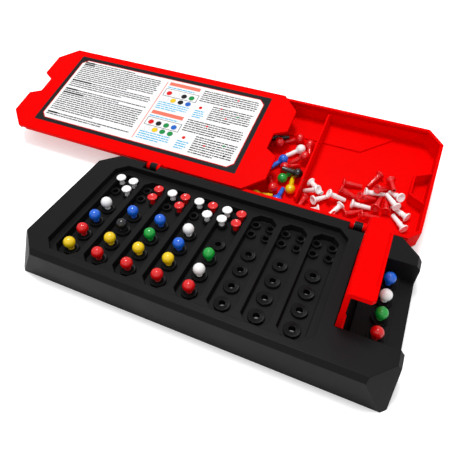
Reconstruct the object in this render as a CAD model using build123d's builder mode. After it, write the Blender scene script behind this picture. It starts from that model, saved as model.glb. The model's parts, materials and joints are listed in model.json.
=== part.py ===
"""Code-breaking peg game in a folding travel case.

A black peg board carries eight columns of code pegs and key pegs and a recess for the secret
code, with a folding cover over it. A red storage tray is hinged to the board's back edge and
has a lid that slides out to the left.

Millimetres. Origin: centre of the board's underside, +X right, +Y back, +Z up.
"""

import os
from math import cos, pi, radians, sin, sqrt

from build123d import *

half_turn = 180.0
corner_share = 2 - sqrt(2)

# Board
board_length = 192.0
board_depth = 86.6
board_height = 20.5
edge_bevel_width = 2.1
edge_bevel_drop = 2.6
corner_cut_top = 9.5
corner_cut_base = 2.3
board_wall = 2.0
deck_thickness = 2.0

# Peg field
column_count = 8
column_pitch = 17.0
first_column_x = -70.0
row_count = 4
row_pitch = 10.92
first_row_y = -29.0
key_half_spacing = 4.15
key_front_y = 17.6
key_row_spacing = 7.4

# Playing pocket
pocket_side_margin = 10.45
pocket_front_y = -37.5
pocket_back_y = 34.7
pocket_corner = 5.6
rib_drop = 3.4
channel_depth = 4.1
channel_width = 13.6
channel_front_y = -35.3
channel_back_y = 30.5
channel_corner = 3.6
channel_draft = 6.0
boss_height = 1.6
code_boss_diameter = 8.0
key_boss_diameter = 5.4
peg_hole_diameter = 3.1
peg_sides = 8

# Secret code recess, open at the board's right side
recess_front_y = -24.1
recess_back_y = 24.5
slot_left_x = 69.4
slot_width = 3.1
slot_floor_z = 4.0
ridge_width = 1.8
ridge_top_z = 9.9
recess_floor_z = 8.9
strip_left_x = 89.1
strip_floor_z = 7.8
secret_boss_height = 1.5
secret_x = 83.8
secret_first_y = -15.4
secret_pitch = 11.0

# Folding cover
cover_axis_x = 67.6
cover_axis_z = 18.9
cover_thickness = 2.4
cover_back_offset = 1.6
cover_height = 25.4
cover_reach = 11.9
cover_bend_radius = 2.9
cover_foot_gap = 0.8
cover_barrel_radius = 1.8
cover_barrel_length = 7.6
cover_side_clearance = 0.5
cover_turn_clearance = 0.3
cover_pin_radius = 1.0
cover_pin_length = 2.4
cover_pin_clearance = 0.06
cover_front_corner = 1.4
cover_back_corner = 4.0
cover_groove_width = 0.5
cover_groove_depth = 0.5
cover_groove_inset = 1.2

# Tray hinge
hinge_inset = 0.7
hinge_z = 18.0
hinge_end_margin = 31.9
lug_width = 4.2
lug_radius = 2.4
ear_thickness = 2.0
ear_clearance = 0.25
ear_swing_clearance = 0.3
ear_heel_drop = 7.5
ear_heel_gap = 0.1
hinge_pin_radius = 1.2
hinge_pin_clearance = 0.06
open_tilt = 15.3

# Tray, measured in its own plane: across it from the hinge axis, and down from the axis
tray_length = 187.8
tray_near = 4.9
tray_far = 83.5
tray_rim_drop = 5.9
tray_height = 14.0
tray_wall = 1.8
tray_floor = 1.6
tray_far_corner = 9.6
tray_near_corner = 5.8
divider_x = 23.2
divider_thickness = 1.2
divider_gap = 0.2
divider_end_notch = 3.9
platform_rise = 1.0
platform_near = 63.8
platform_half_near = 48.5
platform_half_far = 68.2
thumb_well_depth = 8.1
thumb_well_mouth = 21.0
thumb_well_inner = 12.4
thumb_well_drop = 5.0
thumb_well_wall = 1.2

# Sliding lid
lid_thickness = 1.7
lid_open_travel = 90.6
lid_corner = 11.3
lid_notch_depth = 7.5
runner_width = 2.0
runner_height = 3.0
runner_clearance = 0.4
runner_end_inset = 14.0
tongue_reach = 1.0
tongue_height = 1.4
groove_depth = 0.9
groove_clearance = 0.35
skirt_gap = 0.3

# Label on the lid
label_thickness = 0.12
label_left_inset = 18.6
label_right_inset = 18.8
label_near = 13.6
label_far = 78.3

# Code pegs
ball_diameter = 6.1
ball_rise = 4.05
ball_latitudes = (-62, -20, 25, 70)
code_neck_diameter = 3.9
code_stem_diameter = 3.0
code_stem_length = 6.2
code_tip_diameter = 2.6

# Key pegs
key_head_diameter = 5.6
key_head_rise = 4.4
key_head_thickness = 0.9
key_flare_drop = 1.5
key_neck_diameter = 3.4
key_stem_diameter = 2.9
key_stem_length = 6.8
key_tip_diameter = 2.5

# Places worked out from the sizes above
rib_top_z = board_height - rib_drop
channel_floor_z = rib_top_z - channel_depth
boss_top_z = channel_floor_z + boss_height
deck_underside_z = channel_floor_z - deck_thickness
bevel_low_z = board_height - edge_bevel_drop
field_middle_x = first_column_x + column_pitch * (column_count - 1) / 2
pocket_length = column_pitch * column_count + 2 * (pocket_side_margin - column_pitch / 2)
pocket_depth = pocket_back_y - pocket_front_y
pocket_middle_y = (pocket_back_y + pocket_front_y) / 2
pocket_right_x = field_middle_x + pocket_length / 2
recess_left_x = cover_axis_x - cover_barrel_radius - cover_turn_clearance
recess_middle_y = (recess_front_y + recess_back_y) / 2
recess_width = recess_back_y - recess_front_y
recess_shelf_z = cover_axis_z - cover_barrel_radius - cover_turn_clearance
ridge_left_x = slot_left_x + slot_width
ridge_right_x = ridge_left_x + ridge_width
secret_boss_top_z = recess_floor_z + secret_boss_height
cover_width = recess_width - 2 * cover_side_clearance
tray_width = tray_far - tray_near
tray_middle = (tray_far + tray_near) / 2
tray_floor_drop = tray_rim_drop + tray_height - tray_floor
runner_outer = tray_far - tray_wall - runner_clearance
runner_low_drop = tray_rim_drop + runner_height
tongue_top_drop = runner_low_drop - tongue_height
groove_top_drop = tongue_top_drop - groove_clearance
groove_low_drop = runner_low_drop + groove_clearance
low_wall_x = -tray_length / 2 + tray_far_corner + 1.0
hinge_y = board_depth / 2 - hinge_inset
hinge_half_span = tray_length / 2 - hinge_end_margin
lug_places = (-hinge_half_span, hinge_half_span)
ear_offset = (lug_width + ear_thickness) / 2 + ear_clearance
hinge_block_width = lug_width + 2 * (ear_thickness + ear_clearance + ear_swing_clearance)

tilt_across = Vector(0, cos(radians(open_tilt)), sin(radians(open_tilt)))
tilt_up = Vector(0, -sin(radians(open_tilt)), cos(radians(open_tilt)))
hinge_point = Vector(0, hinge_y, hinge_z)


def tray_plane(drop):
    """Plane across the open tray, a distance down from the hinge axis. Its Y runs away from the axis."""
    return Plane(origin=hinge_point - tilt_up * drop, x_dir=(1, 0, 0), z_dir=tilt_up)


def tray_section(x):
    """Plane square to the hinge axis. Its X runs across the tray, and its Y up from the axis."""
    return Plane(origin=hinge_point + Vector(x, 0, 0), x_dir=tilt_across, z_dir=(1, 0, 0))


def column_x(column):
    """Middle of a column, counted from 1 at the left."""
    return first_column_x + (column - 1) * column_pitch


def row_y(row):
    """Middle of a code row, counted from 1 at the front."""
    return first_row_y + (row - 1) * row_pitch


def key_places(column):
    """The four key holes of a column, named by front or back and left or right."""
    left = column_x(column) - key_half_spacing
    right = column_x(column) + key_half_spacing
    back_y = key_front_y + key_row_spacing
    return {
        "FL": (left, key_front_y),
        "FR": (right, key_front_y),
        "BL": (left, back_y),
        "BR": (right, back_y),
    }


# Pegs in play: the code pegs of each column from the front, and its key pegs
code_pegs = {
    1: ["yellow", "red", "blue", "white"],
    2: ["red", "yellow", "black", "blue"],
    3: ["red", "yellow", "green", "blue"],
    4: ["red", "yellow", "blue", "white"],
    5: ["red", "white", "green"],
}
key_pegs = {
    1: {"white": ["BL", "BR", "FR"]},
    2: {"red": ["BR", "FR"]},
    3: {"white": ["BL"], "red": ["BR", "FR"]},
    4: {"white": ["BL", "FR"], "red": ["BR"]},
    5: {"white": ["BL", "FL"], "red": ["BR", "FR"]},
}
secret_pegs = ["red", "green", "white", "blue"]

columns = range(1, column_count + 1)
rows = range(1, row_count + 1)
code_holes = [(column_x(c), row_y(r)) for c in columns for r in rows]
key_holes = [place for c in columns for place in key_places(c).values()]
gauge_holes = [(column_x(column_count), row_y(1)), key_places(column_count)["FR"]]
matched_holes = [place for place in code_holes + key_holes if place not in gauge_holes]
secret_holes = [(secret_x, secret_first_y + i * secret_pitch) for i in range(len(secret_pegs))]


def finish(piece, node):
    """Label a finished piece and write it."""
    piece.part.label = node
    export_step(piece.part, f"parts/{node}.step")


def small_round(diameter, across_corners=False):
    """Eight-sided section of a small moulded hole or boss, across its flats or its corners."""
    RegularPolygon(
        diameter / 2, peg_sides, major_radius=across_corners, rotation=half_turn / peg_sides
    )


def cut_rectangle(height, length, depth, corner):
    """Rectangle with cut corners, as one section through the board's outside."""
    with BuildSketch(Plane.XY.offset(height)) as section:
        Rectangle(length, depth)
        chamfer(section.vertices(), corner)
    return section.sketch


def leaning_cut(height):
    """Size of the board's corner cut at a height: the corner facets lean inwards."""
    full_cut = corner_cut_top + 2 * edge_bevel_width
    return corner_cut_base + (full_cut - corner_cut_base) * height / board_height


def inside_cut(height):
    """Corner cut of the board's hollow at a height, one wall inside the corner facet."""
    return leaning_cut(height) - corner_share * board_wall


os.makedirs("parts", exist_ok=True)

# Board: one black moulding, hollow underneath
with BuildPart() as board:
    base_section = cut_rectangle(0, board_length, board_depth, corner_cut_base)
    bevel_section = cut_rectangle(
        bevel_low_z, board_length, board_depth, leaning_cut(bevel_low_z)
    )
    top_section = cut_rectangle(
        board_height,
        board_length - 2 * edge_bevel_width,
        board_depth - 2 * edge_bevel_width,
        corner_cut_top,
    )
    loft([base_section, bevel_section], ruled=True)
    loft([bevel_section, top_section], ruled=True)

    # Hollow under the playing field, clear of the secret code recess
    hollow_length = board_length - 2 * board_wall
    hollow_depth = board_depth - 2 * board_wall
    recess_block_width = recess_width + 2 * board_wall
    with BuildSketch() as low_hollow:
        Rectangle(hollow_length, hollow_depth)
        chamfer(low_hollow.vertices(), inside_cut(deck_underside_z))
        with Locations((pocket_right_x, recess_middle_y)):
            Rectangle(
                board_length / 2,
                recess_block_width,
                align=(Align.MIN, Align.CENTER),
                mode=Mode.SUBTRACT,
            )
    extrude(amount=deck_underside_z, mode=Mode.SUBTRACT)

    # Hollow under the recess's floor
    with BuildSketch() as recess_hollow:
        with Locations((ridge_right_x, recess_middle_y)):
            Rectangle(
                hollow_length / 2 - ridge_right_x,
                recess_width,
                align=(Align.MIN, Align.CENTER),
            )
    extrude(amount=strip_floor_z - deck_thickness, mode=Mode.SUBTRACT)

    # Hollow border round the playing field, up to the top wall
    with BuildSketch(Plane.XY.offset(deck_underside_z)) as border_hollow:
        Rectangle(hollow_length, hollow_depth)
        chamfer(border_hollow.vertices(), inside_cut(board_height))
        with Locations((field_middle_x, pocket_middle_y)):
            Rectangle(
                pocket_length + 2 * board_wall,
                pocket_depth + 2 * board_wall,
                mode=Mode.SUBTRACT,
            )
        with Locations((pocket_right_x, recess_middle_y)):
            Rectangle(
                board_length / 2,
                recess_block_width,
                align=(Align.MIN, Align.CENTER),
                mode=Mode.SUBTRACT,
            )
        with Locations(*[(x, board_depth / 2) for x in lug_places]):
            Rectangle(
                hinge_block_width + 2 * board_wall, board_depth / 2, mode=Mode.SUBTRACT
            )
    extrude(amount=board_height - deck_thickness - deck_underside_z, mode=Mode.SUBTRACT)

    # Playing pocket with a sunken channel for each column
    with BuildSketch(Plane.XY.offset(board_height)) as pocket:
        with Locations((field_middle_x, pocket_middle_y)):
            Rectangle(pocket_length, pocket_depth)
        chamfer(pocket.vertices(), pocket_corner)
    extrude(amount=-rib_drop, mode=Mode.SUBTRACT)
    for column in columns:
        with BuildSketch(Plane.XY.offset(rib_top_z)) as channel:
            with Locations((column_x(column), (channel_front_y + channel_back_y) / 2)):
                Rectangle(channel_width, channel_back_y - channel_front_y)
            chamfer(channel.vertices(), channel_corner)
        extrude(amount=-channel_depth, taper=channel_draft, mode=Mode.SUBTRACT)

    # Secret code recess: cover shelf, slot, ridge, code floor and right strip
    recess_back_plane = Plane.XZ.offset(-recess_back_y)
    with BuildSketch(recess_back_plane):
        with BuildLine():
            Polyline(
                (recess_left_x, board_height + 1),
                (recess_left_x, recess_shelf_z),
                (slot_left_x, recess_shelf_z),
                (slot_left_x, slot_floor_z),
                (ridge_left_x, slot_floor_z),
                (ridge_left_x, ridge_top_z),
                (ridge_right_x, ridge_top_z),
                (ridge_right_x, recess_floor_z),
                (strip_left_x, recess_floor_z),
                (strip_left_x, strip_floor_z),
                (board_length / 2 + 1, strip_floor_z),
                (board_length / 2 + 1, board_height + 1),
                close=True,
            )
        make_face()
    extrude(amount=recess_width, mode=Mode.SUBTRACT)

    # Raised bosses round the peg holes
    with BuildSketch(Plane.XY.offset(channel_floor_z)):
        with Locations(*code_holes):
            small_round(code_boss_diameter, across_corners=True)
        with Locations(*key_holes):
            small_round(key_boss_diameter, across_corners=True)
    extrude(amount=boss_height)
    with BuildSketch(Plane.XY.offset(recess_floor_z)):
        with Locations(*secret_holes):
            small_round(code_boss_diameter, across_corners=True)
    extrude(amount=secret_boss_height)

    # Peg holes: round in the last column's first two, and matched to the pegs' sides elsewhere
    with BuildSketch(Plane.XY.offset(boss_top_z)):
        with Locations(*gauge_holes):
            Circle(peg_hole_diameter / 2)
        with Locations(*matched_holes):
            small_round(peg_hole_diameter)
    extrude(amount=-(boss_top_z - deck_underside_z), mode=Mode.SUBTRACT)
    with BuildSketch(Plane.XY.offset(secret_boss_top_z)):
        with Locations(*secret_holes):
            small_round(peg_hole_diameter)
    extrude(amount=-(secret_boss_top_z - strip_floor_z + deck_thickness), mode=Mode.SUBTRACT)

    # Pin holes of the folding cover, in the recess's end walls
    cover_axis_plane = Plane.XZ.offset(-recess_back_y - cover_pin_length)
    with BuildSketch(cover_axis_plane):
        with Locations((cover_axis_x, cover_axis_z)):
            Circle(cover_pin_radius + cover_pin_clearance)
    extrude(amount=recess_width + 2 * cover_pin_length, mode=Mode.SUBTRACT)

    # Hinge lugs, each standing in a notch where the tray's ears swing
    notch_depth = board_depth / 2 - hinge_y + tray_near + ear_swing_clearance + lug_radius / 2
    for x in lug_places:
        with BuildSketch(Plane.XY.offset(hinge_z - lug_radius - ear_swing_clearance)):
            with Locations((x, board_depth / 2)):
                Rectangle(hinge_block_width, 2 * notch_depth)
        extrude(amount=board_height, mode=Mode.SUBTRACT)
        with BuildSketch(Plane.YZ.offset(x - lug_width / 2)):
            with Locations((hinge_y, hinge_z)):
                Circle(lug_radius)
            with Locations((board_depth / 2, hinge_z)):
                Rectangle(
                    board_depth / 2 - hinge_y + lug_radius,
                    2 * lug_radius,
                    align=(Align.MAX, Align.MAX),
                )
            with Locations((hinge_y, hinge_z)):
                Circle(hinge_pin_radius, mode=Mode.SUBTRACT)
        extrude(amount=lug_width)
finish(board, "board_deck")

# Hinge pins, fixed in the board's lugs
for side, x in zip(("left", "right"), lug_places):
    pin_length = lug_width + 2 * (ear_thickness + ear_clearance)
    with BuildPart() as hinge_pin:
        with BuildSketch(Plane.YZ.offset(x - pin_length / 2)):
            with Locations((hinge_y, hinge_z)):
                Circle(hinge_pin_radius)
        extrude(amount=pin_length)
    finish(hinge_pin, f"hinge_pin_{side}")

# Folding cover, standing upright
with BuildPart() as cover:
    cover_left_x = cover_axis_x - cover_back_offset
    cover_top_z = cover_axis_z + cover_height
    cover_back_y = recess_back_y - cover_side_clearance
    with BuildSketch(Plane.XZ.offset(-cover_back_y)) as profile:
        with BuildLine():
            Polyline(
                (cover_left_x, cover_axis_z - cover_foot_gap),
                (cover_left_x, cover_top_z),
                (cover_left_x + cover_reach, cover_top_z),
                (cover_left_x + cover_reach, cover_top_z - cover_thickness),
                (cover_left_x + cover_thickness, cover_top_z - cover_thickness),
                (cover_left_x + cover_thickness, cover_axis_z - cover_foot_gap),
                close=True,
            )
        make_face()
        bend = profile.vertices().sort_by_distance((cover_left_x, cover_top_z))
        fillet(bend[0], cover_bend_radius)
    extrude(amount=cover_width)
    free_corners = cover.edges().filter_by(Axis.Z).group_by(Axis.X)[-1].sort_by(Axis.Y)
    chamfer(free_corners[0], cover_front_corner)
    free_corners = cover.edges().filter_by(Axis.Z).group_by(Axis.X)[-1].sort_by(Axis.Y)
    chamfer(free_corners[-1], cover_back_corner)

    # Grip groove near the free edge
    groove_x = cover_left_x + cover_reach - cover_groove_inset
    with BuildSketch(Plane.XY.offset(cover_top_z)):
        with Locations((groove_x, recess_middle_y)):
            Rectangle(cover_groove_width, cover_width - 4 * cover_back_corner)
    extrude(amount=-cover_groove_depth, mode=Mode.SUBTRACT)

    # Barrels and pins at both ends of the foot
    for end_y, inwards in ((cover_back_y, 1), (cover_back_y - cover_width, -1)):
        with BuildSketch(Plane.XZ.offset(-end_y)):
            with Locations((cover_axis_x, cover_axis_z)):
                Circle(cover_barrel_radius)
        extrude(amount=inwards * cover_barrel_length)
        with BuildSketch(Plane.XZ.offset(-end_y)):
            with Locations((cover_axis_x, cover_axis_z)):
                Circle(cover_pin_radius)
        extrude(amount=-inwards * cover_pin_length)
finish(cover, "code_cover")


def tray_outline():
    """Outline of the tray in its own plane, with larger cut corners on its far side."""
    half_length = tray_length / 2
    Polygon(
        (-half_length, tray_near + tray_near_corner),
        (-half_length + tray_near_corner, tray_near),
        (half_length - tray_near_corner, tray_near),
        (half_length, tray_near + tray_near_corner),
        (half_length, tray_far - tray_far_corner),
        (half_length - tray_far_corner, tray_far),
        (-half_length + tray_far_corner, tray_far),
        (-half_length, tray_far - tray_far_corner),
        align=None,
    )


def thumb_notch(end_x, inwards, depth, mouth, inner, mode=Mode.ADD):
    """Thumb notch that narrows away from an end of the tray or lid."""
    Polygon(
        (end_x, tray_middle - mouth / 2),
        (end_x + inwards * depth, tray_middle - inner / 2),
        (end_x + inwards * depth, tray_middle + inner / 2),
        (end_x, tray_middle + mouth / 2),
        align=None,
        mode=mode,
    )


def across_tray(x, width, low, high, drop, thickness, mode=Mode.ADD):
    """Bar along the hinge axis from x, over a stretch across the tray, down from a drop."""
    with BuildSketch(tray_section(x)) as bar:
        with Locations((low, -drop)):
            Rectangle(high - low, thickness, align=(Align.MIN, Align.MAX))
    extrude(bar.sketch, amount=width, mode=mode)


# Tray: one red moulding, open upwards, with its floor towards the table
with BuildPart() as tray:
    with BuildSketch(tray_plane(tray_rim_drop)):
        tray_outline()
    extrude(amount=-tray_height)
    with BuildSketch(tray_plane(tray_rim_drop)):
        tray_outline()
        offset(amount=-tray_wall, mode=Mode.REPLACE)
    extrude(amount=-(tray_height - tray_floor), mode=Mode.SUBTRACT)

    # Raised platform along the far wall, hollow beneath
    for drop, lift, mode in (
        (tray_floor_drop, platform_rise, Mode.ADD),
        (tray_floor_drop + tray_floor, platform_rise, Mode.SUBTRACT),
    ):
        with BuildSketch(tray_plane(drop)):
            with BuildLine():
                Polyline(
                    (-platform_half_far, tray_far - tray_wall),
                    (-platform_half_near, platform_near),
                    (platform_half_near, platform_near),
                    (platform_half_far, tray_far - tray_wall),
                    close=True,
                )
            make_face()
        extrude(amount=lift, mode=mode)

    # Divider between the code pegs and the key pegs
    with BuildSketch(tray_section(divider_x - divider_thickness / 2)):
        with BuildLine():
            near_notch = tray_near + tray_wall + divider_end_notch
            far_notch = tray_far - tray_wall - divider_end_notch
            top_drop = tray_rim_drop + divider_gap
            Polyline(
                (tray_near + tray_wall, -tray_floor_drop),
                (tray_near + tray_wall, -groove_low_drop),
                (near_notch, -groove_low_drop),
                (near_notch, -top_drop),
                (far_notch, -top_drop),
                (far_notch, -groove_low_drop),
                (tray_far - tray_wall, -groove_low_drop),
                (tray_far - tray_wall, -tray_floor_drop),
                close=True,
            )
        make_face()
    extrude(amount=divider_thickness)

    # Thumb well against the right end wall
    right_inner_x = tray_length / 2 - tray_wall
    well_outer = thumb_well_wall * 2
    with BuildSketch(tray_plane(tray_floor_drop)):
        thumb_notch(
            right_inner_x,
            -1,
            thumb_well_depth + thumb_well_wall,
            thumb_well_mouth + well_outer,
            thumb_well_inner + well_outer,
        )
    extrude(amount=tray_height - tray_floor - thumb_well_drop)
    with BuildSketch(tray_plane(tray_floor_drop)):
        thumb_notch(right_inner_x, -1, thumb_well_depth, thumb_well_mouth, thumb_well_inner)
    extrude(amount=tray_height, mode=Mode.SUBTRACT)

    # Grooves for the lid's tongues, and the low left end that the lid slides over
    left_end_x = -tray_length / 2
    groove_length = tray_length / 2 - runner_end_inset / 2 - left_end_x
    groove_height = groove_low_drop - groove_top_drop
    for low in (tray_near + tray_wall - groove_depth, tray_far - tray_wall):
        across_tray(
            left_end_x,
            groove_length,
            low,
            low + groove_depth,
            groove_top_drop,
            groove_height,
            Mode.SUBTRACT,
        )
    across_tray(
        left_end_x,
        low_wall_x - left_end_x,
        tray_near,
        tray_far,
        tray_rim_drop,
        groove_low_drop - tray_rim_drop,
        Mode.SUBTRACT,
    )

    # Hinge ears on both sides of each lug. Their heels rest against the board's back wall
    for lug_x in lug_places:
        for side in (-1, 1):
            ear_x = lug_x + side * ear_offset - ear_thickness / 2
            heel_y = board_depth / 2 + ear_heel_gap
            with BuildSketch(Plane.YZ.offset(ear_x)):
                with Locations((hinge_y, hinge_z)):
                    Circle(lug_radius)
                wall_face = hinge_point + tilt_across * tray_near
                wall_core = wall_face + tilt_across * tray_wall / 2
                rim_edge = wall_face - tilt_up * tray_rim_drop
                wall_top = wall_core - tilt_up * (tray_rim_drop + tray_wall)
                wall_low = wall_core - tilt_up * (tray_rim_drop + tray_height / 2)
                with BuildLine():
                    Polyline(
                        (hinge_y + lug_radius / 2, hinge_z + lug_radius * sqrt(3) / 2),
                        (rim_edge.Y, rim_edge.Z),
                        (wall_top.Y, wall_top.Z),
                        (wall_low.Y, wall_low.Z),
                        (heel_y, hinge_z - ear_heel_drop),
                        (heel_y, hinge_z),
                        close=True,
                    )
                make_face()
                with Locations((hinge_y, hinge_z)):
                    Circle(hinge_pin_radius + hinge_pin_clearance, mode=Mode.SUBTRACT)
            extrude(amount=ear_thickness)
finish(tray, "tray")

# Sliding lid, drawn out to the left
lid_left_x = -lid_open_travel - tray_length / 2
lid_right_x = -lid_open_travel + tray_length / 2
with BuildPart() as lid:
    with BuildSketch(tray_plane(tray_rim_drop)) as lid_face:
        with Locations((-lid_open_travel, tray_middle)):
            Rectangle(tray_length, tray_width)
        chamfer(lid_face.vertices(), lid_corner)
        for end_x, inwards in ((lid_left_x, 1), (lid_right_x, -1)):
            thumb_notch(
                end_x,
                inwards,
                lid_notch_depth,
                thumb_well_mouth,
                thumb_well_inner,
                Mode.SUBTRACT,
            )
    extrude(amount=lid_thickness)

    # Runners along both edges, with tongues that slide in the tray's grooves
    runner_length = tray_length - 2 * runner_end_inset
    for mirrored in (False, True):
        low = runner_outer - runner_width
        tongue_low = runner_outer
        if mirrored:
            low = tray_near + tray_far - runner_outer
            tongue_low = low - tongue_reach
        across_tray(
            lid_left_x + runner_end_inset,
            runner_length,
            low,
            low + runner_width,
            tray_rim_drop,
            runner_height,
        )
        across_tray(
            lid_left_x + runner_end_inset,
            runner_length,
            tongue_low,
            tongue_low + tongue_reach,
            tongue_top_drop,
            tongue_height,
        )

    # Skirt under the left end, which closes the gap over the tray's low end wall
    skirt_height = groove_low_drop - tray_rim_drop - skirt_gap
    skirt_length = low_wall_x + tray_length / 2 - skirt_gap
    with BuildSketch(tray_plane(tray_rim_drop)) as skirt:
        with Locations((-lid_open_travel, tray_middle)):
            Rectangle(tray_length, tray_width)
        chamfer(skirt.vertices(), lid_corner)
        offset(amount=-tray_wall, mode=Mode.SUBTRACT)
        with Locations((lid_left_x + skirt_length, tray_middle)):
            Rectangle(
                tray_length,
                tray_width,
                align=(Align.MIN, Align.CENTER),
                mode=Mode.SUBTRACT,
            )
        with Locations((lid_left_x, tray_middle)):
            Rectangle(tray_wall * 4, thumb_well_mouth + tray_wall, mode=Mode.SUBTRACT)
    extrude(amount=-skirt_height)
finish(lid, "lid")

# Label on the lid's outer face
label_plane = tray_plane(tray_rim_drop - lid_thickness)
with BuildPart() as label:
    with BuildSketch(label_plane):
        with Locations((lid_left_x + label_left_inset, label_near)):
            Rectangle(
                tray_length - label_left_inset - label_right_inset,
                label_far - label_near,
                align=(Align.MIN, Align.MIN),
            )
    extrude(amount=label_thickness)
finish(label, "lid_label")


def faceted_round(seat, *sections):
    """Convex solid through eight-sided rounds, each a height over the seat and a diameter."""
    corners = []
    for height, diameter in sections:
        corner_radius = diameter / 2 / cos(pi / peg_sides)
        for side in range(peg_sides):
            turn = (2 * side + 1) * pi / peg_sides
            corner = Vector(corner_radius * cos(turn), corner_radius * sin(turn), height)
            corners.append(seat.from_local_coords(corner))
    ConvexPolyhedron(corners)


def code_peg(seat):
    """Ball-headed code peg, whose neck stands on the seat and whose stem goes into the hole."""
    ball = [
        (
            ball_rise + ball_diameter / 2 * sin(radians(latitude)),
            ball_diameter * cos(radians(latitude)),
        )
        for latitude in ball_latitudes
    ]
    faceted_round(seat, (-code_stem_length, code_tip_diameter), (0, code_stem_diameter))
    faceted_round(seat, (0, code_neck_diameter), ball[0])
    faceted_round(seat, *ball)


def key_peg(seat):
    """Flat-headed key peg, whose neck flares up into the head."""
    head_top = key_head_rise + key_head_thickness / 2
    head_low = key_head_rise - key_head_thickness / 2
    neck_top = (head_low - key_flare_drop, key_neck_diameter)
    faceted_round(seat, (-key_stem_length, key_tip_diameter), (0, key_stem_diameter))
    faceted_round(seat, (0, key_neck_diameter), neck_top)
    faceted_round(
        seat, neck_top, (head_low, key_head_diameter), (head_top, key_head_diameter)
    )


# Code pegs on the board
for column, colours in code_pegs.items():
    for row, colour in enumerate(colours, start=1):
        with BuildPart() as peg:
            code_peg(Plane(origin=(column_x(column), row_y(row), boss_top_z)))
        finish(peg, f"code_peg_{column}_{row}_{colour}")

# Key pegs on the board, by column and colour
for column, colours in key_pegs.items():
    for colour, names in colours.items():
        with BuildPart() as pegs:
            for name in names:
                key_peg(Plane(origin=(*key_places(column)[name], boss_top_z)))
        finish(pegs, f"key_pegs_{column}_{colour}")

# The secret code, under the cover
for place, colour in zip(secret_holes, secret_pegs):
    with BuildPart() as peg:
        code_peg(Plane(origin=(*place, secret_boss_top_z)))
    finish(peg, f"secret_peg_{colour}")

# Loose pegs in the tray: where each head lies, along and across the tray, which way it points,
# and how high the head and the stem's tip are over the tray's floor
loose_code_pegs = {
    "red": [
        (-0.8, 51.6, 4, 6.0, 1.2),
        (9.8, 60.9, 28, 3.1, 1.4),
        (17.6, 57.9, 104, 3.1, 1.4),
        (18.0, 46.2, 33, 5.4, 1.3),
        (8.4, 35.4, -143, 3.7, 1.4),
        (6.7, 18.0, -60, 4.5, 1.3),
    ],
    "white": [(13.3, 52.5, 42, 3.1, 1.4)],
    "blue": [
        (5.4, 41.4, 52, 3.1, 1.4),
        (11.9, 11.2, -93, 3.1, 1.4),
    ],
    "black": [
        (18.1, 32.1, 3, 5.3, 7.2),
        (-6.7, 56.4, -155, 3.1, 1.4),
    ],
    "green": [
        (9.7, 27.4, -120, 3.1, 1.4),
        (-8.9, 34.7, -132, 4.4, 1.3),
    ],
    "yellow": [
        (17.0, 21.0, -80, 3.3, 1.4),
        (-1.4, 10.5, -158, 3.1, 1.4),
    ],
}
loose_key_pegs = {
    "white": [
        (26.9, 30.3, 144, 2.9, 3.8),
        (33.7, 22.9, -7, 7.9, 1.1),
        (32.5, 16.8, -133, 4.8, 1.3),
        (40.0, 23.2, -169, 6.4, 1.2),
        (37.3, 13.0, 22, 2.9, 1.4),
        (48.6, 20.0, 62, 2.9, 1.7),
        (54.2, 23.0, -173, 2.9, 1.4),
        (59.5, 33.5, -165, 2.9, 1.4),
        (79.3, 32.8, -44, 7.4, 1.1),
        (78.4, 26.5, -49, 6.6, 4.5),
        (85.5, 24.0, -30, 2.9, 1.4),
        (85.5, 16.0, -46, 2.9, 1.4),
    ],
    "red": [
        (26.9, 18.8, 81, 2.9, 3.9),
        (45.5, 36.1, -171, 2.9, 1.4),
        (45.3, 30.0, 172, 4.8, 1.3),
        (64.4, 48.7, 65, 2.9, 1.4),
        (71.2, 46.7, 109, 2.9, 7.0),
        (65.5, 34.8, -130, 7.1, 1.1),
        (57.0, 27.3, -157, 6.5, 1.2),
        (67.5, 23.0, -98, 5.0, 1.3),
        (73.6, 23.9, -81, 3.5, 1.3),
        (52.1, 14.8, -147, 2.9, 1.4),
        (60.8, 16.1, -161, 4.8, 1.3),
        (46.1, 10.0, 180, 5.9, 1.2),
    ],
}


def lying_seat(place, head_rise, stem_length):
    """Seat plane of a peg that lies in the tray, with its flats level."""
    x, across, heading, head_height, tip_height = place
    lean = (head_height - tip_height) / (head_rise + stem_length)
    along = Vector(cos(radians(heading)), 0, 0) + tilt_across * sin(radians(heading))
    towards_head = along * sqrt(1 - lean * lean) + tilt_up * lean
    head_plane = tray_plane(tray_floor_drop - head_height)
    head = head_plane.from_local_coords(Vector(x, across, 0))
    return Plane(
        origin=head - towards_head * head_rise,
        x_dir=tilt_up.cross(along),
        z_dir=towards_head,
    )


for colour, places in loose_code_pegs.items():
    with BuildPart() as pegs:
        for place in places:
            code_peg(lying_seat(place, ball_rise, code_stem_length))
    finish(pegs, f"loose_code_pegs_{colour}")

for colour, places in loose_key_pegs.items():
    with BuildPart() as pegs:
        for place in places:
            key_peg(lying_seat(place, key_head_rise, key_stem_length))
    finish(pegs, f"loose_key_pegs_{colour}")
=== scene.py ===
"""Looks of a code-breaking peg game in a folding travel case.

The pegs are turned smooth over the faceted solids, the peg holes get round collars, and the lid
gets its printed label. Everything is in metres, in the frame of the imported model.
"""

from __future__ import annotations

import json
import logging
import random
from dataclasses import dataclass, field
from enum import Enum
from math import cos, pi, radians, sin, sqrt
from typing import Any, Iterable, Sequence

import bmesh
import bpy
import numpy as np
from mathutils import Matrix, Vector

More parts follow.
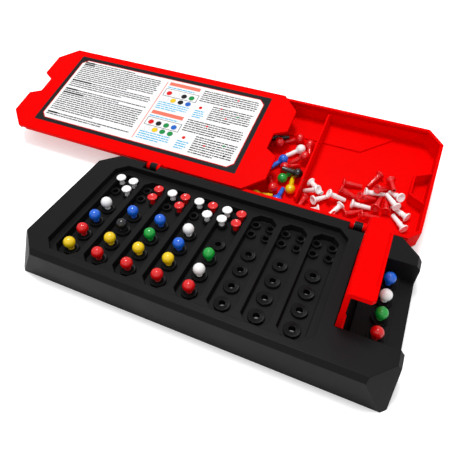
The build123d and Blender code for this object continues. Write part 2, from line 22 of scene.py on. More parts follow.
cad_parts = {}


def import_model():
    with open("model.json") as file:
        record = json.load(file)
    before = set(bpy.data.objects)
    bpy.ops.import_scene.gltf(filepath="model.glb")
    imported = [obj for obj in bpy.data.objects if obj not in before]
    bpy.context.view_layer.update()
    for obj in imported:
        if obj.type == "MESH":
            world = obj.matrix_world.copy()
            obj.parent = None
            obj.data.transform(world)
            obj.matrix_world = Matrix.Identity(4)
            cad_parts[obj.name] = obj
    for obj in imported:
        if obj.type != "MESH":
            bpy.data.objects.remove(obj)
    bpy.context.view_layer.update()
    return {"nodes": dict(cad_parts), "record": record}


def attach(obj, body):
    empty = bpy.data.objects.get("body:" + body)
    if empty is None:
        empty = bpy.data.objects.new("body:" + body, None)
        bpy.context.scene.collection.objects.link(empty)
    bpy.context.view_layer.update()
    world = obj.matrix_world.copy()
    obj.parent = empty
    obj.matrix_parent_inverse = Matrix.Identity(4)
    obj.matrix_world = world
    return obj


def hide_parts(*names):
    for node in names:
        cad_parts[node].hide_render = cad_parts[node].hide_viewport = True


MM = 0.001
TURN = 2 * pi
CREASE = radians(40)

log = logging.getLogger("peg_game")


def linear(hex_colour: str) -> tuple[float, float, float, float]:
    """Turn an sRGB hex colour into linear light.

    Args:
        hex_colour: six hex digits after a hash sign.

    Returns:
        Linear red, green and blue, and full opacity.
    """
    parts = [int(hex_colour[i : i + 2], 16) / 255 for i in (1, 3, 5)]
    values = [p / 12.92 if p <= 0.04045 else ((p + 0.055) / 1.055) ** 2.4 for p in parts]
    return (values[0], values[1], values[2], 1.0)


def add_node(tree: bpy.types.NodeTree, kind: str, inputs: dict[Any, Any], **settings: Any):
    """Add one shader node with its settings, values and links.

    Args:
        tree: the node tree to add it to.
        kind: the node's type name.
        inputs: input sockets by name or number, each a value or a socket to link from.
        settings: attributes to set on the node.

    Returns:
        The new node.
    """
    node = tree.nodes.new(kind)
    for name, value in settings.items():
        setattr(node, name, value)
    for key, value in inputs.items():
        if isinstance(value, bpy.types.NodeSocket):
            tree.links.new(value, node.inputs[key])
        else:
            node.inputs[key].default_value = value
    return node


def finish_mesh(name: str, mesh: bmesh.types.BMesh, smooth: bool = True) -> bpy.types.Object:
    """Close a bmesh into an object at the origin.

    Args:
        name: the piece's name.
        mesh: the bmesh, which is freed.
        smooth: whether its faces are shaded smooth, with creases kept sharp.

    Returns:
        The new object.
    """
    bmesh.ops.recalc_face_normals(mesh, faces=mesh.faces)
    data = bpy.data.meshes.new(name)
    mesh.to_mesh(data)
    mesh.free()
    piece = bpy.data.objects.new(name, data)
    bpy.context.scene.collection.objects.link(piece)
    if smooth:
        data.shade_smooth()
        data.set_sharp_from_angle(angle=CREASE)
    return piece


def arc(
    centre: tuple[float, float], radius: float, start: float, end: float, steps: int
) -> list[tuple[float, float]]:
    """Points of an arc in a turned profile.

    Args:
        centre: distance from the axis and height of the arc's centre.
        radius: radius of the arc.
        start: angle of the first point over the level, in degrees.
        end: angle of the last point, in degrees.
        steps: number of stretches.

    Returns:
        Distances from the axis and heights.
    """
    angles = [radians(start + (end - start) * i / steps) for i in range(steps + 1)]
    return [(centre[0] + radius * cos(a), centre[1] + radius * sin(a)) for a in angles]


def turned(profile: Sequence[tuple[float, float]], sides: int) -> bmesh.types.BMesh:
    """Spin a profile into a solid of revolution round Z.

    Args:
        profile: distances from the axis and heights, in millimetres, along the outline.
        sides: number of stretches round the axis.

    Returns:
        A closed bmesh in metres.
    """
    mesh = bmesh.new()
    points = [mesh.verts.new((r * MM, 0, z * MM)) for r, z in profile]
    edges = [mesh.edges.new(pair) for pair in zip(points, points[1:])]
    bmesh.ops.spin(
        mesh,
        geom=points + edges,
        cent=(0, 0, 0),
        axis=(0, 0, 1),
        angle=TURN,
        steps=sides,
        use_merge=True,
    )
    bmesh.ops.remove_doubles(mesh, verts=mesh.verts, dist=0.002 * MM)
    bmesh.ops.recalc_face_normals(mesh, faces=mesh.faces)
    return mesh


def repeated(shape: bmesh.types.BMesh, places: Iterable[Matrix]) -> bmesh.types.BMesh:
    """Copy a shape to several places in one bmesh.

    Args:
        shape: the shape at the origin, which is freed.
        places: where each copy goes.

    Returns:
        A bmesh with every copy.
    """
    data = bpy.data.meshes.new("shape")
    shape.to_mesh(data)
    shape.free()
    whole = bmesh.new()
    for place in places:
        first = len(whole.verts)
        whole.from_mesh(data)
        whole.verts.ensure_lookup_table()
        bmesh.ops.transform(whole, matrix=place, verts=whole.verts[first:])
    bpy.data.meshes.remove(data)
    return whole


@dataclass(frozen=True)
class MouldedPlastic:
    """Injection-moulded plastic, with faint cloudiness and the fine texture of its mould."""

    name: str
    colour: str
    roughness: float
    grain: float = 0.5
    grain_depth: float = 0.02
    cloud: float = 14.0
    shade: float = 0.93
    edge: float = 0.25
    coat: float = 0.0
    specular: float = 0.5

    def build(self) -> bpy.types.Material:
        """Make the material, whose sizes are all in millimetres."""
        material = bpy.data.materials.new(self.name)
        material.use_nodes = True
        tree = material.node_tree
        tree.nodes.clear()
        place = add_node(tree, "ShaderNodeTexCoord", {}).outputs["Object"]
        cloud = add_node(
            tree, "ShaderNodeTexNoise", {"Vector": place, "Scale": 1 / (self.cloud * MM)}
        )
        grain = add_node(
            tree,
            "ShaderNodeTexNoise",
            {"Vector": place, "Scale": 1 / (self.grain * MM), "Detail": 3.0},
        )
        full = linear(self.colour)
        worn = tuple(c * self.shade for c in full[:3]) + (1.0,)
        tint = add_node(
            tree,
            "ShaderNodeMix",
            {"Factor": cloud.outputs["Fac"], "A": worn, "B": full},
            data_type="RGBA",
        )
        sheen = add_node(
            tree,
            "ShaderNodeMapRange",
            {
                "Value": cloud.outputs["Fac"],
                "From Min": 0.3,
                "From Max": 0.7,
                "To Min": self.roughness - 0.04,
                "To Max": self.roughness + 0.04,
            },
        )
        # Rounded edges of a moulding, which catch the light
        edge = add_node(tree, "ShaderNodeBevel", {"Radius": self.edge * MM}, samples=6)
        bump = add_node(
            tree,
            "ShaderNodeBump",
            {
                "Height": grain.outputs["Fac"],
                "Distance": self.grain_depth * MM,
                "Normal": edge.outputs["Normal"],
            },
        )
        shader = add_node(
            tree,
            "ShaderNodeBsdfPrincipled",
            {
                "Base Color": tint.outputs["Result"],
                "Roughness": sheen.outputs["Result"],
                "IOR": 1.49,
                "Coat Weight": self.coat,
                "Coat Roughness": 0.08,
                "Specular IOR Level": self.specular,
                "Normal": bump.outputs["Normal"],
            },
        )
        add_node(tree, "ShaderNodeOutputMaterial", {"Surface": shader.outputs["BSDF"]})
        return material


@dataclass(frozen=True)
class PrintedPaper:
    """Coated paper printed in one ink, with a slight unevenness of the ink."""

    name: str
    colour: str
    roughness: float = 0.5
    fibre: float = 0.8
    specular: float = 0.1

    def build(self) -> bpy.types.Material:
        """Make the material."""
        material = bpy.data.materials.new(self.name)
        material.use_nodes = True
        tree = material.node_tree
        tree.nodes.clear()
        place = add_node(tree, "ShaderNodeTexCoord", {}).outputs["Object"]
        fibre = add_node(
            tree,
            "ShaderNodeTexNoise",
            {"Vector": place, "Scale": 1 / (self.fibre * MM), "Detail": 4.0},
        )
        full = linear(self.colour)
        thin = tuple(c * 0.95 for c in full[:3]) + (1.0,)
        ink = add_node(
            tree,
            "ShaderNodeMix",
            {"Factor": fibre.outputs["Fac"], "A": thin, "B": full},
            data_type="RGBA",
        )
        bump = add_node(
            tree,
            "ShaderNodeBump",
            {"Height": fibre.outputs["Fac"], "Distance": 0.004 * MM},
        )
        shader = add_node(
            tree,
            "ShaderNodeBsdfPrincipled",
            {
                "Base Color": ink.outputs["Result"],
                "Roughness": self.roughness,
                "IOR": 1.5,
                "Specular IOR Level": self.specular,
                "Normal": bump.outputs["Normal"],
            },
        )
        add_node(tree, "ShaderNodeOutputMaterial", {"Surface": shader.outputs["BSDF"]})
        return material


@dataclass(frozen=True)
class DrawnSteel:
    """Drawn steel wire, cut into pins, with fine lines along it."""

    name: str = "drawn_steel_wire"
    colour: str = "#9a9a9c"

    def build(self) -> bpy.types.Material:
        """Make the material."""
        material = bpy.data.materials.new(self.name)
        material.use_nodes = True
        tree = material.node_tree
        tree.nodes.clear()
        place = add_node(tree, "ShaderNodeTexCoord", {}).outputs["Object"]
        stretched = add_node(
            tree, "ShaderNodeMapping", {"Vector": place, "Scale": (0.05, 1.0, 1.0)}
        )
        lines = add_node(
            tree,
            "ShaderNodeTexNoise",
            {"Vector": stretched.outputs["Vector"], "Scale": 1 / (0.15 * MM)},
        )
        dull = add_node(
            tree,
            "ShaderNodeMapRange",
            {"Value": lines.outputs["Fac"], "To Min": 0.25, "To Max": 0.45},
        )
        shader = add_node(
            tree,
            "ShaderNodeBsdfPrincipled",
            {
                "Base Color": linear(self.colour),
                "Metallic": 1.0,
                "Roughness": dull.outputs["Result"],
            },
        )
        add_node(tree, "ShaderNodeOutputMaterial", {"Surface": shader.outputs["BSDF"]})
        return material


class Shell(Enum):
    """Finishes of the case's own mouldings."""

    # Satin black polystyrene: the mould's fine grit breaks its reflections up
    BOARD = MouldedPlastic(
        "satin_black_polystyrene",
        "#161617",
        0.4,
        grain=0.6,
        grain_depth=0.02,
        edge=0.5,
        specular=0.12,
    )
    # Smoother red polystyrene: even colour with broad soft reflections
    RED = MouldedPlastic(
        "satin_red_polystyrene",
        "#f00000",
        0.45,
        grain=0.8,
        grain_depth=0.012,
        shade=0.97,
        edge=0.3,
        specular=0.02,
    )


class PegColour(Enum):
    """Finishes of the pegs: polyethylene from a polished mould, glossy and a little cloudy."""

    RED = MouldedPlastic("gloss_red_polyethylene", "#e8080c", 0.3, grain_depth=0.006, coat=0.6)
    YELLOW = MouldedPlastic(
        "gloss_yellow_polyethylene", "#ffd800", 0.3, grain_depth=0.006, coat=0.6
    )
    BLUE = MouldedPlastic("gloss_blue_polyethylene", "#1268e6", 0.3, grain_depth=0.006, coat=0.6)
    GREEN = MouldedPlastic(
        "gloss_green_polyethylene", "#08a83a", 0.3, grain_depth=0.006, coat=0.6
    )
    WHITE = MouldedPlastic(
        "gloss_white_polyethylene", "#ffffff", 0.3, grain_depth=0.006, coat=0.6, shade=0.99
    )
    BLACK = MouldedPlastic("gloss_black_polyethylene", "#141416", 0.3, grain_depth=0.006, coat=0.6)


class Ink(Enum):
    """Inks of the printed label."""

    DARK = PrintedPaper("dark_printed_paper", "#1e1e20")
    PAPER = PrintedPaper("white_coated_paper", "#f6f6f6")
    TEXT = PrintedPaper("black_ink_on_paper", "#3c3c40")
    RED = PrintedPaper("red_ink_on_paper", "#e01818")
    SALMON = PrintedPaper("salmon_ink_on_paper", "#ee7a66")
    CYAN = PrintedPaper("cyan_ink_on_paper", "#38b4e0")
    PALE = PrintedPaper("grey_ink_on_paper", "#c4c6ca")
    BLUE = PrintedPaper("blue_ink_on_paper", "#2466c8")
    GREEN = PrintedPaper("green_ink_on_paper", "#1c9048")
    YELLOW = PrintedPaper("yellow_ink_on_paper", "#f4cc20")


class Finishes:
    """Makes each finish once and dresses pieces with it."""

    def __init__(self) -> None:
        """Start with no material made."""
        self.made: dict[str, bpy.types.Material] = {}

    def dress(self, piece: bpy.types.Object, finish: Any) -> None:
        """Give a piece one finish all over.

        Args:
            piece: the object to dress.
            finish: a finish with a name and a build method.
        """
        if finish.name not in self.made:
            self.made[finish.name] = finish.build()
        piece.data.materials.clear()
        piece.data.materials.append(self.made[finish.name])


@dataclass
class Peg:
    """A peg turned from its profile, in millimetres over the boss that it stands on."""

    stem_length: float
    stem_radius: float
    tip_radius: float
    bore_radius: float = 0.75
    bore_depth: float = 2.2
    neck_radius: float = 1.95
    sides: int = 32

    def stem(self) -> list[tuple[float, float]]:
        """Profile of the hollow-ended stem, from the bore's floor up to the seat."""
        tip = -self.stem_length
        return [
            (0, tip + self.bore_depth),
            (self.bore_radius, tip + self.bore_depth),
            (self.bore_radius, tip + 0.1),
            (self.bore_radius + 0.1, tip),
            *arc((self.tip_radius - 0.2, tip + 0.2), 0.2, -90, 0, 3),
            (self.stem_radius, 0),
            *arc((self.neck_radius - 0.15, 0.15), 0.15, -90, 0, 2),
        ]

    def profile(self) -> list[tuple[float, float]]:
        """Whole profile from the axis at the tip to the axis at the top."""
        raise NotImplementedError

    def shape(self) -> bmesh.types.BMesh:
        """Spin the profile."""
        return turned(self.profile(), self.sides)


@dataclass
class CodePeg(Peg):
    """Ball-headed code peg."""

    stem_length: float = 6.2
    stem_radius: float = 1.5
    tip_radius: float = 1.3
    ball_radius: float = 3.05
    ball_rise: float = 4.05
    neck_radius: float = 1.3

    def profile(self) -> list[tuple[float, float]]:
        """Profile with the short neck that runs up into the ball."""
        return [
            *self.stem(),
            (self.neck_radius, 0.5),
            *arc((0, self.ball_rise), self.ball_radius, -50, 82, 18),
            # Shallow mark of the mould's gate on the crown
            (0.35, self.ball_rise + self.ball_radius - 0.06),
            (0, self.ball_rise + self.ball_radius - 0.1),
        ]


@dataclass
class KeyPeg(Peg):
    """Flat-headed key peg with a dished head."""

    stem_length: float = 6.8
    stem_radius: float = 1.45
    tip_radius: float = 1.25
    neck_radius: float = 1.7
    head_radius: float = 2.8
    head_rise: float = 4.25
    head_thickness: float = 1.2
    waist_radius: float = 1.5
    bowl: float = 0.75
    dish: float = 0.45

    def profile(self) -> list[tuple[float, float]]:
        """Profile with the flare under the head and the dish in it."""
        low = self.head_rise - self.head_thickness / 2
        top = self.head_rise + self.head_thickness / 2
        rim = self.head_thickness / 2
        return [
            *self.stem(),
            (self.waist_radius, 1.0),
            (self.waist_radius, low - self.bowl - 0.5),
            (self.waist_radius + 0.2, low - self.bowl),
            (self.head_radius - rim - 0.25, low - 0.2),
            *arc((self.head_radius - rim, self.head_rise), rim, -65, 90, 9),
            (self.head_radius - rim - 0.25, top - 0.12),
            (self.head_radius - rim - 0.7, top - self.dish),
            (self.waist_radius / 2, top - self.dish),
            (self.waist_radius / 2 - 0.2, top - self.dish - 0.2),
            (0, top - self.dish - 0.2),
        ]


@dataclass
class Pegs:
    """All pegs: each stands for the faceted solid at its own place."""

    finishes: Finishes
    code: CodePeg = field(default_factory=CodePeg)
    key: KeyPeg = field(default_factory=KeyPeg)

    def places(self, node: bpy.types.Object, peg: Peg) -> list[Matrix]:
        """Find where each peg of a node is, from the node's own mesh.

        Args:
            node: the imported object, with one or more pegs.
            peg: the kind of peg that it holds.

        Returns:
            For each peg, the matrix from the profile's frame to its place.
        """
        solid = bmesh.new()
        solid.from_mesh(node.data)
        bmesh.ops.remove_doubles(solid, verts=solid.verts, dist=0.003 * MM)
        unseen = set(solid.verts)
        found = []
        while unseen:
            reached = [unseen.pop()]
            for vert in reached:
                near = {e.other_vert(vert) for e in vert.link_edges} & unseen
                unseen -= near
                reached.extend(near)
            found.append(self.stand(np.array([v.co for v in reached]), peg))
        solid.free()
        return found

    def stand(self, points: np.ndarray, peg: Peg) -> Matrix:
        """Matrix of one peg, from the corners of its solid.

        Args:
            points: the corners.
            peg: the kind of peg.

        Returns:
            The matrix from the profile's frame to the peg's place.
        """
        middle = points.mean(0)
        axis = np.linalg.svd(points - middle)[2][0]
        along = (points - middle) @ axis
        # The widest ring is in the head, above the middle
        spread = np.linalg.norm(points - middle - np.outer(along, axis), axis=1)
        if along[spread.argmax()] < 0:
            axis, along = -axis, -along
        tip_ring = points[along < along.min() + 0.3 * MM].mean(0)
        high_ring = points[along > along.max() - 0.1 * MM].mean(0)
        up = Vector(high_ring - tip_ring).normalized()
        seat = Vector(tip_ring) + up * peg.stem_length * MM
        return Matrix.Translation(seat) @ up.to_track_quat("Z", "Y").to_matrix().to_4x4()

    def build(self, nodes: dict[str, bpy.types.Object]) -> None:
        """Replace every peg node by smooth pegs of its colour.

        Args:
            nodes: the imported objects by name.
        """
        for name, node in sorted(nodes.items()):
            if "peg" not in name:
                continue
            peg = self.key if "key_pegs" in name else self.code
            colour = name.rsplit("_", 1)[1]
            whole = repeated(peg.shape(), self.places(node, peg))
            piece = finish_mesh(f"turned_{name}", whole)
            self.finishes.dress(piece, PegColour[colour.upper()].value)
            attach(piece, "tray" if name.startswith("loose") else "board")
            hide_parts(name)
            log.info("pegs %s", piece.name)


@dataclass
class Collars:
    """Round collars over the board's eight-sided bosses, with the mouths of their peg holes."""

    finishes: Finishes
    columns: int = 8
    first_column: float = -70.0
    column_pitch: float = 17.0
    first_row: float = -29.0
    row_pitch: float = 10.92
    rows: int = 4
    key_half_spacing: float = 4.15
    key_front: float = 17.6
    key_row_spacing: float = 7.4
    channel_floor: float = 13.0
    boss_top: float = 14.6
    secret_floor: float = 8.9
    secret_top: float = 10.4
    secret_x: float = 83.8
    secret_first: float = -15.4
    secret_pitch: float = 11.0
    code_radius: float = 4.0
    key_radius: float = 2.7
    hole_radius: float = 1.53
    skin: float = 0.03
    sleeve_depth: float = 3.4
    rim: float = 0.16
    sides: int = 40

    def collar(self, radius: float, rise: float, depth: float) -> bmesh.types.BMesh:
        """Thin sleeve over one boss, with rounded rims.

        Args:
            radius: the boss's radius.
            rise: how high the boss stands over its floor.
            depth: how deep the hole's wall is covered.

        Returns:
            The sleeve, with its top at the height of zero.
        """
        outer = radius + self.skin
        top = self.skin
        inner = self.hole_radius
        rim = self.rim
        profile = [
            (outer + 0.02, -rise),
            *arc((outer - rim, top - rim), rim, 0, 90, 5),
            *arc((inner + rim, top - rim), rim, 90, 180, 4),
            (inner, -depth),
            (inner + 0.015, -depth),
            *arc((inner + rim, top - rim), rim - 0.02, 180, 90, 4),
            *arc((outer - rim, top - rim), rim - 0.02, 90, 0, 5),
            (outer - 0.01, -rise),
            (outer + 0.02, -rise),
        ]
        return turned(profile, self.sides)

    def build(self) -> None:
        """Make the code collars, the key collars and those of the secret code."""
        columns = [self.first_column + i * self.column_pitch for i in range(self.columns)]
        code = [
            (x, self.first_row + row * self.row_pitch, self.boss_top)
            for x in columns
            for row in range(self.rows)
        ]
        key = [
            (
                x + side * self.key_half_spacing,
                self.key_front + row * self.key_row_spacing,
                self.boss_top,
            )
            for x in columns
            for side in (-1, 1)
            for row in (0, 1)
        ]
        secret = [
            (self.secret_x, self.secret_first + i * self.secret_pitch, self.secret_top)
            for i in range(self.rows)
        ]
        rise = self.boss_top - self.channel_floor
        secret_rise = self.secret_top - self.secret_floor
        for name, radius, height, spots in (
            ("code_hole_collars", self.code_radius, rise, code),
            ("key_hole_collars", self.key_radius, rise, key),
            ("secret_hole_collars", self.code_radius, secret_rise, secret),
        ):
            places = [Matrix.Translation(Vector(spot) * MM) for spot in spots]
            whole = repeated(self.collar(radius, height, self.sleeve_depth), places)
            piece = finish_mesh(name, whole)
            self.finishes.dress(piece, Shell.BOARD.value)
            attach(piece, "board")
            log.info("collars %s", name)


@dataclass
class Label:
    """Printed label on the lid: rules without lettering, as grey bars, with coloured dots.

    Places are in millimetres on the lid: along the hinge axis, and across from it.
    """

    finishes: Finishes
    hinge: Vector
    tilt: float = radians(15.3)
    surface: float = -4.08
    left: float = -162.4
    right: float = -19.0
    near: float = 16.9
    far: float = 74.75
    corner: float = 3.5
    outline: float = 0.5
    sheet: float = 0.012
    line_pitch: float = 1.825
    line_height: float = 0.85
    dot_radius: float = 1.9
    seed: int = 7

    def __post_init__(self) -> None:
        """Start one bmesh for each ink, and the seeded choice of word lengths."""
        self.layers: dict[Ink, bmesh.types.BMesh] = {}
        self.words = random.Random(self.seed)

    def frame(self) -> Matrix:
        """Matrix from the lid's own plane to the model's frame."""
        return Matrix.Translation(self.hinge) @ Matrix.Rotation(self.tilt, 4, "X")

    def bar(
        self, ink: Ink, low: tuple[float, float], high: tuple[float, float], level: int
    ) -> None:
        """Add a thin printed rectangle.

        Args:
            ink: its ink.
            low: its lower left corner.
            high: its upper right corner.
            level: how many sheets it lies over the label.
        """
        layer = self.layers.setdefault(ink, bmesh.new())
        thickness = self.sheet
        centre = (
            (low[0] + high[0]) / 2,
            (low[1] + high[1]) / 2,
            self.surface + thickness * (level + 0.5),
        )
        size = Matrix.Diagonal((high[0] - low[0], high[1] - low[1], thickness, 1 / MM))
        bmesh.ops.create_cube(
            layer, size=1.0, matrix=Matrix.Translation(Vector(centre) * MM) @ size * MM
        )

    def panel(self, ink: Ink, grow: float, level: int) -> None:
        """Add the panel with cut corners.

        Args:
            ink: its ink.
            grow: how far it reaches past the white panel.
            level: how many sheets it lies over the label.
        """
        layer = self.layers.setdefault(ink, bmesh.new())
        made = bmesh.ops.create_grid(
            layer,
            x_segments=1,
            y_segments=1,
            size=0.5,
            matrix=Matrix.Translation(
                Vector(
                    (
                        (self.left + self.right) / 2,
                        (self.near + self.far) / 2,
                        self.surface + self.sheet * level,
                    )
                )
                * MM
            )
            @ Matrix.Diagonal(
                (
                    (self.right - self.left + 2 * grow) * MM,
                    (self.far - self.near + 2 * grow) * MM,
                    1,
                    1,
                )
            ),
        )
        cut = bmesh.ops.bevel(
            layer,
            geom=made["verts"],
            affect="VERTICES",
            offset=(self.corner * sqrt(2) + grow * 0.6) * MM,
            offset_type="WIDTH",
            segments=1,
            profile=0.5,
            material=-1,
        )
        faces = {face for vert in cut["verts"] for face in vert.link_faces}
        raised = bmesh.ops.extrude_face_region(layer, geom=list(faces))
        verts = [v for v in raised["geom"] if isinstance(v, bmesh.types.BMVert)]
        bmesh.ops.translate(layer, verts=verts, vec=(0, 0, self.sheet * MM))

    def dot(self, ink: Ink, x: float, w: float, radius: float, level: int) -> None:
        """Add a printed dot.

        Args:
            ink: its ink.
            x: its middle along the hinge axis.
            w: its middle across from the axis.
            radius: its radius.
            level: how many sheets it lies over the label.
        """
        layer = self.layers.setdefault(ink, bmesh.new())
        bmesh.ops.create_cone(
            layer,
            cap_ends=True,
            segments=28,
            radius1=radius * MM,
            radius2=radius * MM,
            depth=self.sheet * MM,
            matrix=Matrix.Translation(
                Vector((x, w, self.surface + self.sheet * (level + 0.5))) * MM
            ),
        )

    def lines(
        self, ink: Ink, span: tuple[float, float], far: float, count: int, last: float = 0.6
    ) -> None:
        """Add a paragraph of word-like bars.

        Args:
            ink: its ink.
            span: where its lines start and end along the hinge axis.
            far: the middle of its first line, across from the axis.
            count: number of lines.
            last: share of the last line that is filled.
        """
        for row in range(count):
            middle = far - row * self.line_pitch
            end = span[0] + (span[1] - span[0]) * (last if row == count - 1 else 1)
            end -= self.words.uniform(0, 1.5)
            x = span[0]
            while x < end:
                word = min(self.words.uniform(0.9, 4.2), end - x)
                half = self.line_height / 2
                self.bar(ink, (x, middle - half), (x + word, middle + half), 2)
                x += word + 0.35

    def rules_column(self) -> None:
        """Print the wide column of rules on the left."""
        span = (-160.2, -94.4)
        for far, count, heading in (
            (73.0, 1, 8.0),
            (71.2, 9, 9.0),
            (54.4, 4, 16.0),
            (45.6, 2, 10.0),
            (42.0, 10, 17.0),
            (22.3, 2, 8.0),
        ):
            self.lines(Ink.TEXT, span, far, count, self.words.uniform(0.5, 0.95))
            half = self.line_height * 0.8
            self.bar(Ink.DARK, (span[0], far - half), (span[0] + heading, far + half), 3)
        self.bar(Ink.SALMON, (-90.8, 19.3), (-90.2, 72.4), 2)

    def example(self, far: float, guess: Sequence[Ink], answer: Sequence[Ink]) -> None:
        """Print one worked example with its dots.

        Args:
            far: how far the example's heading is from the hinge axis.
            guess: inks of the framed row of dots.
            answer: inks of the row beneath.
        """
        columns = (-84.6, -78.9, -73.25, -67.6)
        self.bar(Ink.SALMON, (-88.4, far - 3.1), (-64.9, far), 2)
        self.lines(Ink.CYAN, (-88.4, -66), far - 4.9, 1, 0.95)
        box_high = far - 6.2
        self.bar(Ink.TEXT, (-88.6, box_high - 7.1), (-63.3, box_high), 2)
        self.bar(Ink.PAPER, (-88.2, box_high - 6.7), (-63.7, box_high - 0.4), 3)
        for row, inks in ((far - 10.2, guess), (far - 15.9, answer)):
            for x, ink in zip(columns, inks):
                self.dot(Ink.PALE, x, row, self.dot_radius + 0.25, 4)
                self.dot(ink, x, row, self.dot_radius, 5)
        self.lines(Ink.CYAN, (-88.4, -65), far - 19.2, 4, 0.7)

    def notes(self) -> None:
        """Print the small key dots and the grey columns on the right."""
        self.dot(Ink.RED, -58, 56.5, 1.2, 2)
        self.dot(Ink.PALE, -54.2, 56.5, 1.2, 2)
        self.dot(Ink.PAPER, -54.2, 56.5, 1.0, 3)
        self.dot(Ink.RED, -57.6, 29.6, 1.2, 2)
        for far in (53.4, 26.2):
            self.lines(Ink.CYAN, (-60.8, -52.4), far, 4, 0.8)
        for far, count in ((71.6, 6), (44.6, 6)):
            self.lines(Ink.TEXT, (-61.7, -21.3), far, count)
        for far, count in ((59.6, 7), (32.8, 8)):
            self.lines(Ink.TEXT, (-50.2, -21.3), far, count)
        for x, w, ink in (
            (-44, 59.6, Ink.RED),
            (-31, 55.95, Ink.GREEN),
            (-38, 52.3, Ink.RED),
            (-36, 69.8, Ink.RED),
            (-47, 42.8, Ink.RED),
            (-30, 31, Ink.GREEN),
            (-42, 27.3, Ink.RED),
            (-27, 23.7, Ink.DARK),
        ):
            self.dot(ink, x, w, 0.75, 3)

    def build(self, label_node: bpy.types.Object) -> None:
        """Print the label and dress its paper.

        Args:
            label_node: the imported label.
        """
        self.finishes.dress(label_node, Ink.DARK.value)
        self.panel(Ink.RED, self.outline, 0)
        self.panel(Ink.PAPER, 0, 1)
        self.rules_column()
        self.example(
            72.75,
            (Ink.RED, Ink.PAPER, Ink.DARK, Ink.GREEN),
            (Ink.PAPER, Ink.YELLOW, Ink.DARK, Ink.BLUE),
        )
        self.example(
            45.5,
            (Ink.RED, Ink.DARK, Ink.GREEN, Ink.BLUE),
            (Ink.PAPER, Ink.YELLOW, Ink.GREEN, Ink.GREEN),
        )
        self.notes()
        for ink, layer in self.layers.items():
            bmesh.ops.transform(layer, matrix=self.frame(), verts=layer.verts)
            piece = finish_mesh(f"label_print_{ink.name.lower()}", layer, smooth=False)
            self.finishes.dress(piece, ink.value)
            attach(piece, "lid")
            log.info("label %s", piece.name)


@dataclass
class Case:
    """Board, tray, lid, cover and hinge pins, which keep their own shapes."""

    finishes: Finishes

    def build(self, nodes: dict[str, bpy.types.Object]) -> None:
        """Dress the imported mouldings.

        Args:
            nodes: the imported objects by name.
        """
        self.finishes.dress(nodes["board_deck"], Shell.BOARD.value)
        for name in ("tray", "lid", "code_cover"):
            self.finishes.dress(nodes[name], Shell.RED.value)
        for name in ("hinge_pin_left", "hinge_pin_right"):
            self.finishes.dress(nodes[name], DrawnSteel())
        log.info("case dressed")


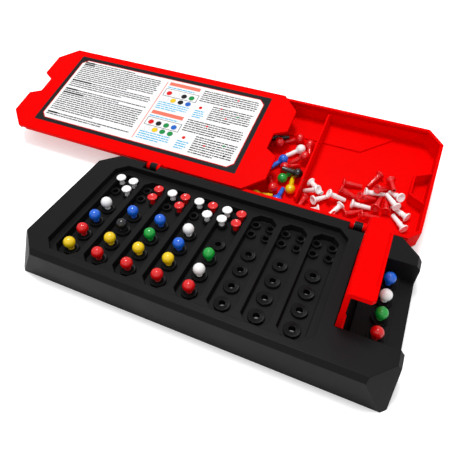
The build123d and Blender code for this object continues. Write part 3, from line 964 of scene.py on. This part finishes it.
@dataclass
class Studio:
    """Plain pale floor, soft lamps and the camera of the photograph."""

    location: tuple[float, float, float] = (65.5, -137.6, 187.3)
    elevation: float = 46.02
    azimuth: float = 23.286
    roll: float = 0.475
    lens: float = 35.11
    sensor: float = 36.0
    floor_size: float = 6.0
    floor_glow: float = 0.6
    # How far the painted shade of the floor's glow reaches out from things over it
    painted_shade_reach: float = 0.02
    room_light: float = 0.54
    aim: tuple[float, float, float] = (-0.03, 0.03, 0.02)

    def camera(self) -> None:
        """Put the camera where the photograph was taken from."""
        data = bpy.data.cameras.new("camera")
        data.lens = self.lens
        data.sensor_width = self.sensor
        data.clip_start = 0.01
        data.clip_end = 100
        camera = bpy.data.objects.new("camera", data)
        camera.matrix_world = (
            Matrix.Translation(Vector(self.location) * MM)
            @ Matrix.Rotation(radians(self.azimuth), 4, "Z")
            @ Matrix.Rotation(radians(90 - self.elevation), 4, "X")
            @ Matrix.Rotation(radians(self.roll), 4, "Z")
        )
        bpy.context.scene.collection.objects.link(camera)
        bpy.context.scene.camera = camera

    def lamp(
        self, name: str, place: tuple[float, float, float], size: float, power: float
    ) -> None:
        """Add a square lamp that faces the object.

        Args:
            name: its name.
            place: where it stands, in metres.
            size: the length of its side, in metres.
            power: its power in watts.
        """
        data = bpy.data.lights.new(name, "AREA")
        data.shape = "SQUARE"
        data.size = size
        data.energy = power
        lamp = bpy.data.objects.new(name, data)
        towards = Vector(self.aim) - Vector(place)
        lamp.matrix_world = (
            Matrix.Translation(place) @ towards.to_track_quat("-Z", "Y").to_matrix().to_4x4()
        )
        bpy.context.scene.collection.objects.link(lamp)

    def floor(self) -> None:
        """Lay the pale floor, which glows white to the camera, with painted shade where things
        stand close over it, and keeps the lamps' soft shadow.
        """
        plane = bmesh.new()
        bmesh.ops.create_grid(plane, x_segments=8, y_segments=8, size=self.floor_size / 2)
        piece = finish_mesh("floor", plane, smooth=False)
        if piece.data.polygons[0].normal.z < 0:
            piece.data.flip_normals()
        material = bpy.data.materials.new("matt_white_floor")
        material.use_nodes = True
        tree = material.node_tree
        tree.nodes.clear()
        path = add_node(tree, "ShaderNodeLightPath", {})
        # Painted shade: the glow fades with the occlusion where something stands close over the
        # floor, so the floor there is darker than the lamps alone make it
        painted_shade_ao = add_node(
            tree, "ShaderNodeAmbientOcclusion", {"Distance": self.painted_shade_reach}, samples=8
        )
        glow_share_after_painted_shade = add_node(
            tree,
            "ShaderNodeMath",
            {0: path.outputs["Is Camera Ray"], 1: painted_shade_ao.outputs["AO"]},
            operation="MULTIPLY",
        )
        glow = add_node(
            tree,
            "ShaderNodeMath",
            {0: glow_share_after_painted_shade.outputs["Value"], 1: self.floor_glow},
            operation="MULTIPLY",
        )
        shader = add_node(
            tree,
            "ShaderNodeBsdfPrincipled",
            {
                "Base Color": linear("#f4f4f4"),
                "Roughness": 0.9,
                "Specular IOR Level": 0.1,
                "Emission Color": (1.0, 1.0, 1.0, 1.0),
                "Emission Strength": glow.outputs["Value"],
            },
        )
        add_node(tree, "ShaderNodeOutputMaterial", {"Surface": shader.outputs["BSDF"]})
        piece.data.materials.append(material)

    def world(self) -> None:
        """Light the room evenly, and show the camera white past the floor."""
        world = bpy.data.worlds.new("studio")
        bpy.context.scene.world = world
        world.use_nodes = True
        tree = world.node_tree
        tree.nodes.clear()
        path = add_node(tree, "ShaderNodeLightPath", {})
        strength = add_node(
            tree,
            "ShaderNodeMapRange",
            {
                "Value": path.outputs["Is Camera Ray"],
                "To Min": self.room_light,
                "To Max": 1.0,
            },
        )
        background = add_node(
            tree,
            "ShaderNodeBackground",
            {"Color": (1.0, 1.0, 1.0, 1.0), "Strength": strength.outputs["Result"]},
        )
        add_node(
            tree, "ShaderNodeOutputWorld", {"Surface": background.outputs["Background"]}
        )

    def build(self) -> None:
        """Set up the whole studio."""
        bpy.context.scene.view_settings.view_transform = "Standard"
        self.camera()
        self.floor()
        self.world()
        self.lamp("lamp_over", (-0.12, 0.12, 1.0), 0.25, 5.8)
        self.lamp("lamp_front", (0.2, -1.0, 0.9), 1.2, 1.7)
        log.info("studio ready")


def main() -> None:
    """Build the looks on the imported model."""
    logging.basicConfig(level=logging.INFO)
    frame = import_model()
    nodes = frame["nodes"]
    finishes = Finishes()
    hinge = next(j for j in frame["record"]["behaviour"]["joints"] if j["name"] == "tray_hinge")
    Case(finishes).build(nodes)
    Collars(finishes).build()
    Pegs(finishes).build(nodes)
    Label(finishes, Vector(hinge["pos_m"])).build(nodes["lid_label"])
    Studio().build()


if __name__ == "__main__":
    main()
